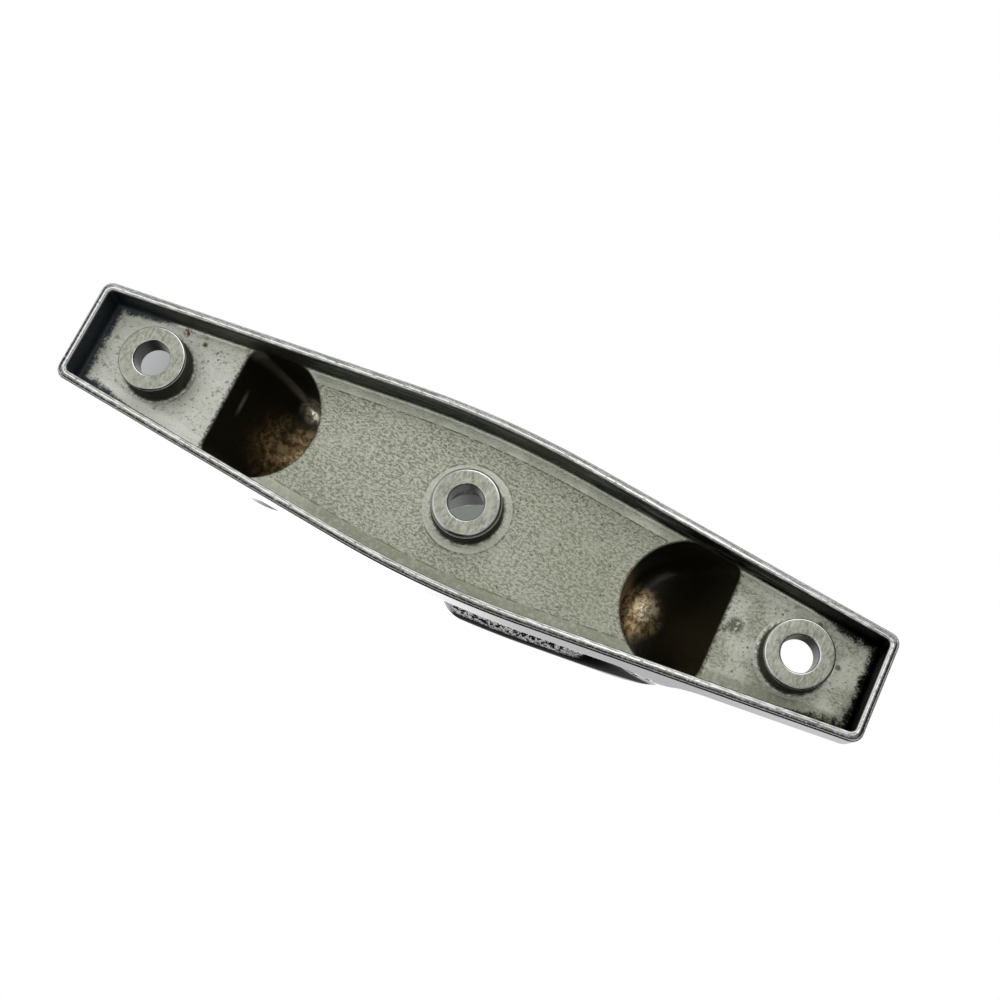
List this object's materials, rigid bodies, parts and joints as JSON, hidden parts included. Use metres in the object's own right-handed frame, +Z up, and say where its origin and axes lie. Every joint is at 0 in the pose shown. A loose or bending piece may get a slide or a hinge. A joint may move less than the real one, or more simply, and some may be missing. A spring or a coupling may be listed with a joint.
{
  "type": "straight bow chock",
  "caption": "Hollow cast deck chock with curled horns that overlap over a rope throat, screwed down through countersunk holes along its centreline.",
  "frame": {"origin": "centre of the flat rim that sits on the deck, on the middle screw hole's axis", "axes": "+X along the base, +Y across it towards the side of the arm that grows from the +X leg, +Z up from the deck towards the horns"},
  "size_m": [0.1524, 0.0324, 0.0298],
  "materials": {
    "chrome_casting": "polished chrome plate outside, dull as-cast grain under the base, stained in the leg pockets",
    "ground_boss": "satin, faces ground flat"
  },
  "bodies": {
    "root": {"base_shell": "chrome_casting", "horn_forward": "chrome_casting", "horn_aft": "chrome_casting", "boss_forward": "ground_boss", "boss_middle": "ground_boss", "boss_aft": "ground_boss"}
  },
  "joints": []
}
